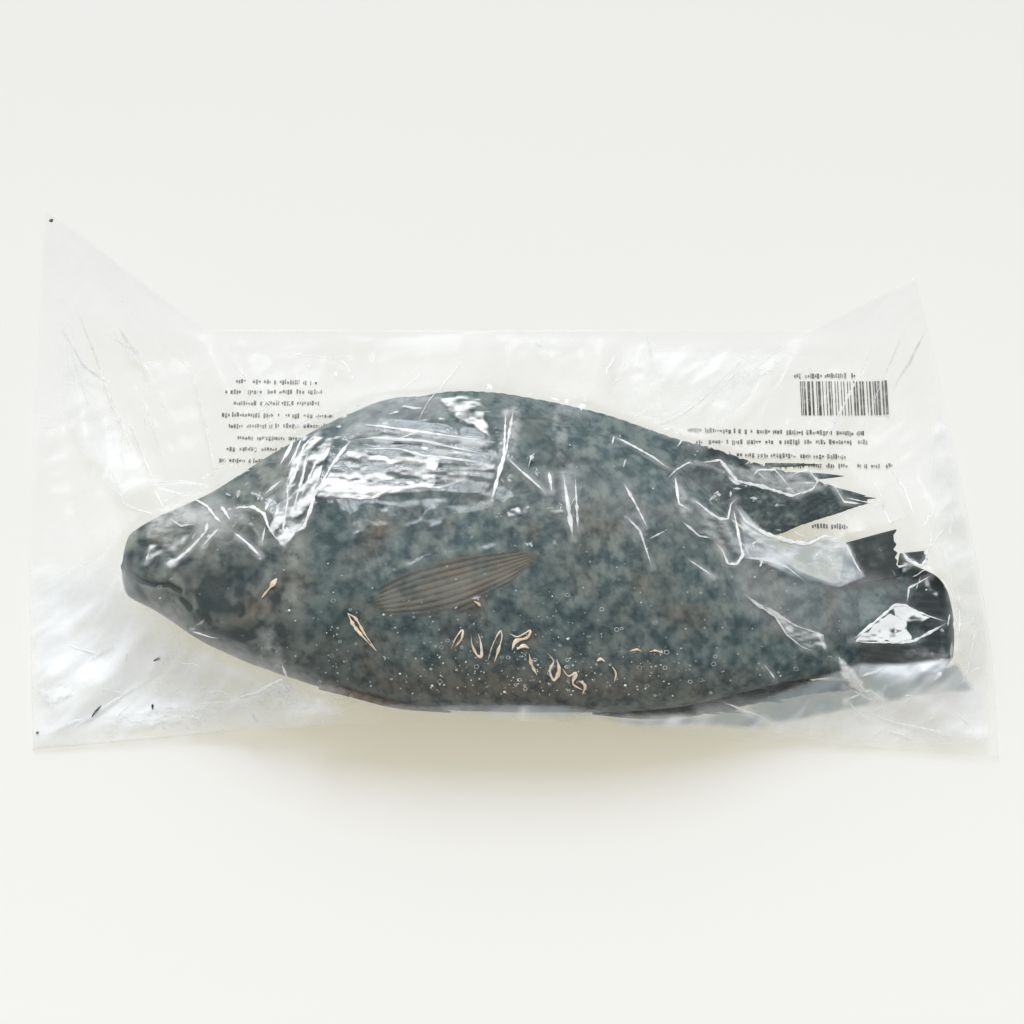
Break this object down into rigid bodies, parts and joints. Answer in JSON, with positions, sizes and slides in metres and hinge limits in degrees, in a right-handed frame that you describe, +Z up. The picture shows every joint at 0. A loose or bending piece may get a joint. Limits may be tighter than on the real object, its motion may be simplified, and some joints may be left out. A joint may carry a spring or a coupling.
{
  "type": "bagged whole tilapia",
  "caption": "Whole tilapia lying on its side, sealed in a wrinkled clear film bag with drawn-up corners.",
  "frame": {"origin": "middle of the bag's plan, on the surface it lies on", "axes": "+X along the fish to its tail, +Y to the fish's back, +Z up; the fish lies on its right side"},
  "size_m": [0.368, 0.21, 0.0494],
  "materials": {
    "film": "clear, thin and wrinkled, with glossy creases and a slight white haze",
    "fish_skin": "scaled, dark slate mottled with grey green, browner at the belly, moist",
    "fin": "rayed, dark slate, the flank fin brown grey, satin",
    "eye": "dull dark eye under the film",
    "droplets": "small pale bubbles and drops between fish and film",
    "flecks": "cream orange shreds of skin on the film",
    "print": "dark grey bars and dashes printed on the lower film"
  },
  "bodies": {
    "root": {"clear_bag": "film"}
  },
  "joints": []
}
